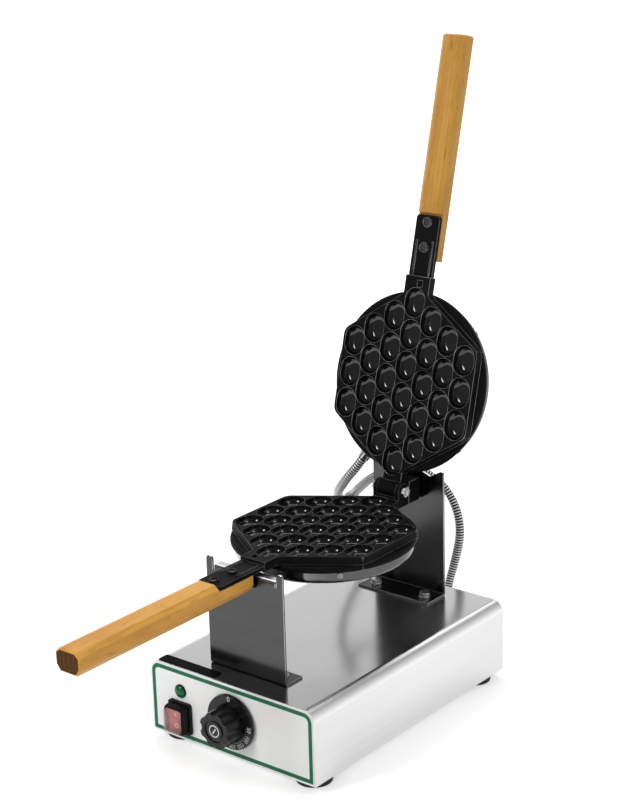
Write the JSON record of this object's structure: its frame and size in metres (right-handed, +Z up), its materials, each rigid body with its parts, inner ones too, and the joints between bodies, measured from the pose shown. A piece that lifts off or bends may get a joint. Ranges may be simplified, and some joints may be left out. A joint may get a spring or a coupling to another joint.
{
  "type": "egg waffle maker",
  "caption": "Countertop bubble waffle maker: two hinged round cast pans with oval cells and wooden handles, held by two sheet brackets on a stainless steel control base.",
  "frame": {"origin": "on the surface that the feet stand on, under the middle of the part's outer box", "axes": "+Z up, +Y from the control panel to the hinge, +X to the right as seen from the front"},
  "size_m": [0.2212, 0.609, 0.661],
  "materials": {
    "base_steel": "brushed stainless",
    "panel_steel": "brushed stainless",
    "panel_face": "printed film, light grey with a green border",
    "feet_rubber": "matte",
    "fastener": "bright zinc",
    "bracket_steel": "brushed stainless in shadow tone",
    "shaft_steel": "turned",
    "bush_brass": "turned",
    "cast_black": "black release coating over cast iron",
    "cover_steel": "polished stainless",
    "element_steel": "oxidised",
    "insulation_fibre": "ceramic fibre",
    "handle_wood": "clear lacquer",
    "gland_steel": "nickel plated",
    "hose_steel": "bright corrugated metal",
    "knob_plastic": "gloss black",
    "black_plastic": "satin black",
    "thermostat_metal": "plain",
    "lamp_green": "clear green",
    "rocker_red": "translucent red",
    "white_plastic": "plain"
  },
  "bodies": {
    "base": {"base_casing": "base_steel", "front_panel": "panel_steel", "rear_panel": "base_steel", "bottom_plate": "base_steel", "panel_overlay": "panel_face", "rubber_feet": "feet_rubber", "foot_screws": "fastener", "foot_nuts": "fastener", "bottom_screws": "fastener", "front_bracket": "bracket_steel", "rear_bracket": "bracket_steel", "bracket_bolts": "fastener", "bracket_washers": "fastener", "bracket_nuts": "fastener", "swivel_shaft": "shaft_steel", "swivel_bush": "bush_brass", "swivel_washer": "fastener", "swivel_nut": "fastener", "hinge_block": "cast_black", "hinge_block_screws": "fastener", "hinge_bolt": "fastener", "hinge_nut": "fastener", "lower_mould": "cast_black", "lower_heater_cover": "cover_steel", "lower_cover_screws": "fastener", "lower_heating_element": "element_steel", "lower_insulation": "insulation_fibre", "lower_handle": "handle_wood", "lower_handle_screws": "fastener", "lower_dish_gland": "gland_steel", "rear_glands": "gland_steel", "rear_gland_nuts": "fastener", "mains_gland": "black_plastic", "lower_hose": "hose_steel", "upper_hose": "hose_steel", "thermostat_body": "thermostat_metal", "thermostat_nut": "fastener", "lamp_holder": "black_plastic", "lamp_lens": "lamp_green", "switch_frame": "black_plastic", "terminal_block": "white_plastic"},
    "lid": {"upper_mould": "cast_black", "upper_heater_cover": "cover_steel", "upper_cover_screws": "fastener", "upper_heating_element": "element_steel", "upper_insulation": "insulation_fibre", "upper_handle": "handle_wood", "upper_handle_screws": "fastener", "upper_dish_gland": "gland_steel"},
    "knob": {"thermostat_knob": "knob_plastic", "thermostat_shaft": "shaft_steel"},
    "rocker": {"switch_rocker": "rocker_red"}
  },
  "joints": [
    {"name": "lid_hinge", "type": "hinge", "parent": "base", "child": "lid", "pos_m": [0, 0.16594, 0.2057], "axis": [1, 0, 0], "range_deg": [0, 104.74], "deforming": ["upper_hose"]},
    {"name": "knob_turn", "type": "hinge", "parent": "base", "child": "knob", "pos_m": [0.0035, -0.10746, 0.0482], "axis": [0, 1, 0], "range_deg": [0, 270]},
    {"name": "rocker_tilt", "type": "hinge", "parent": "base", "child": "rocker", "pos_m": [-0.0644, -0.10136, 0.0327], "axis": [-1, 0, 0], "range_deg": [0, 14]}
  ]
}
